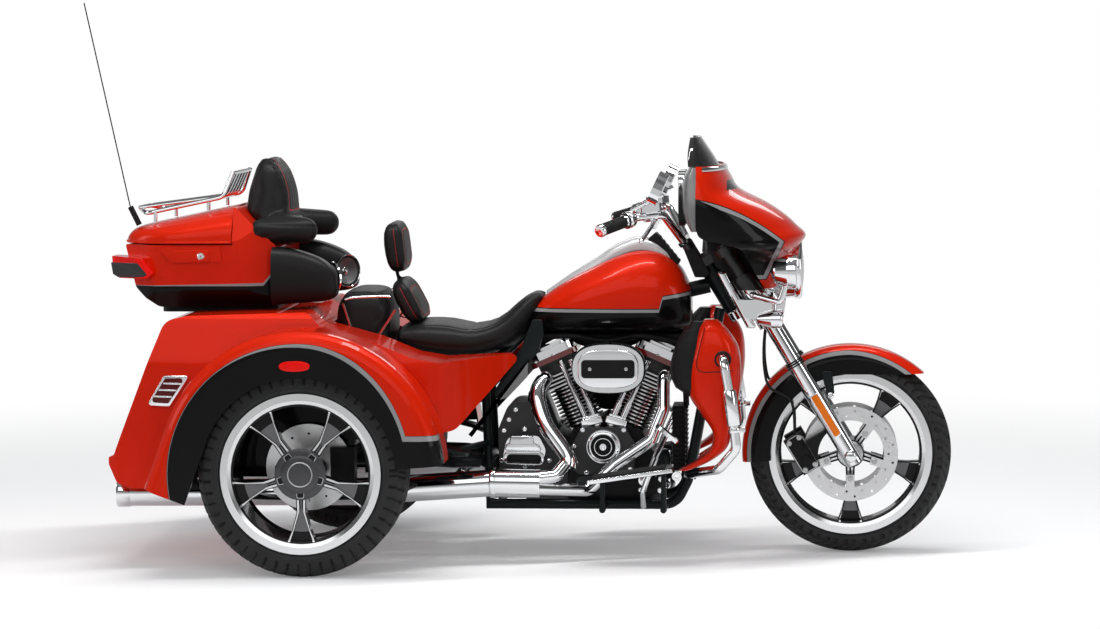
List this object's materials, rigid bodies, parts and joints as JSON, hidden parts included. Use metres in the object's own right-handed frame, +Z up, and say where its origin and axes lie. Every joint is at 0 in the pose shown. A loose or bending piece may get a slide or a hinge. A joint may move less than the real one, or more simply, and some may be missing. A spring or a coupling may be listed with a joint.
{
  "type": "motorized trike",
  "caption": "Three-wheeled touring motorcycle with a V-twin engine, fork-mounted fairing, two seats, lidded top case and rear trunk between two driven wheels.",
  "frame": {"origin": "middle of the bounding box at the floor", "axes": "+X forward, +Y to the rider's left, +Z up"},
  "size_m": [2.735, 1.3926, 1.7574],
  "materials": {
    "frame_black": "gloss black",
    "engine_black": "black",
    "chrome": "polished",
    "paint_red": "gloss red",
    "silver": "silver grey",
    "leather": "black",
    "black_plastic": "black",
    "lens_red": "clear red",
    "grip_rubber": "black",
    "smoke": "smoked",
    "wheel_metal": "machined and black",
    "tyre": "black",
    "disc_steel": "brushed"
  },
  "bodies": {
    "chassis": {"frame": "frame_black", "engine_case": "engine_black", "cylinders": "engine_black", "rocker_covers": "chrome", "pushrod_tubes": "chrome", "cam_cover": "chrome", "air_cleaner": "chrome", "gearbox": "engine_black", "primary_cover": "chrome", "exhaust": "chrome", "fuel_tank": "paint_red", "tank_console": "silver", "rider_seat": "leather", "rider_backrest": "leather", "passenger_seat": "leather", "passenger_backrest": "leather", "top_case": "paint_red", "speaker_pods": "black_plastic", "rear_body": "paint_red", "rear_fenders": "paint_red", "rear_lamps": "lens_red", "rear_axle": "frame_black", "swingarm": "frame_black", "rear_calipers": "frame_black", "lower_fairings": "paint_red", "lower_pods": "black_plastic", "engine_guard": "chrome", "footboards": "black_plastic", "foot_controls": "chrome", "plate_bracket": "frame_black"},
    "steering": {"fork": "chrome", "lamp_bar": "chrome", "handlebar": "chrome", "grips": "grip_rubber", "hand_controls": "chrome", "mirrors": "chrome", "fairing": "paint_red", "inner_fairing": "silver", "windshield": "smoke", "headlamp": "chrome", "front_lamps": "chrome", "front_fender": "paint_red", "front_calipers": "frame_black"},
    "front_wheel_set": {"front_wheel": "wheel_metal", "front_tyre": "tyre", "front_discs": "disc_steel"},
    "rear_wheel_set_right": {"rear_wheel_right": "wheel_metal", "rear_tyre_right": "tyre", "rear_disc_right": "disc_steel"},
    "rear_wheel_set_left": {"rear_wheel_left": "wheel_metal", "rear_tyre_left": "tyre", "rear_disc_left": "disc_steel"},
    "case_lid": {"top_case_lid": "paint_red", "luggage_rack": "chrome", "antenna": "black_plastic"},
    "trunk_door": {"rear_door": "paint_red"}
  },
  "joints": [
    {"name": "steer", "type": "hinge", "parent": "chassis", "child": "steering", "pos_m": [0.64635, 0, 0.84267], "axis": [-0.515, 0, 0.8572], "range_deg": [-30, 30]},
    {"name": "front_wheel_spin", "type": "hinge", "parent": "steering", "child": "front_wheel_set", "pos_m": [1.0485, 0, 0.319], "axis": [0, 1, 0], "continuous": true},
    {"name": "rear_wheel_right_spin", "type": "hinge", "parent": "chassis", "child": "rear_wheel_set_right", "pos_m": [-0.6215, -0.545, 0.318], "axis": [0, 1, 0], "continuous": true},
    {"name": "rear_wheel_left_spin", "type": "hinge", "parent": "chassis", "child": "rear_wheel_set_left", "pos_m": [-0.6215, 0.545, 0.318], "axis": [0, 1, 0], "continuous": true},
    {"name": "case_lid_hinge", "type": "hinge", "parent": "chassis", "child": "case_lid", "pos_m": [-1.0415, 0.3095, 1], "axis": [-1, 0, 0], "range_deg": [0, 75]},
    {"name": "trunk_door_hinge", "type": "hinge", "parent": "chassis", "child": "trunk_door", "pos_m": [-1.22678, 0, 0.35886], "axis": [0, -1, 0], "range_deg": [0, 95]}
  ]
}
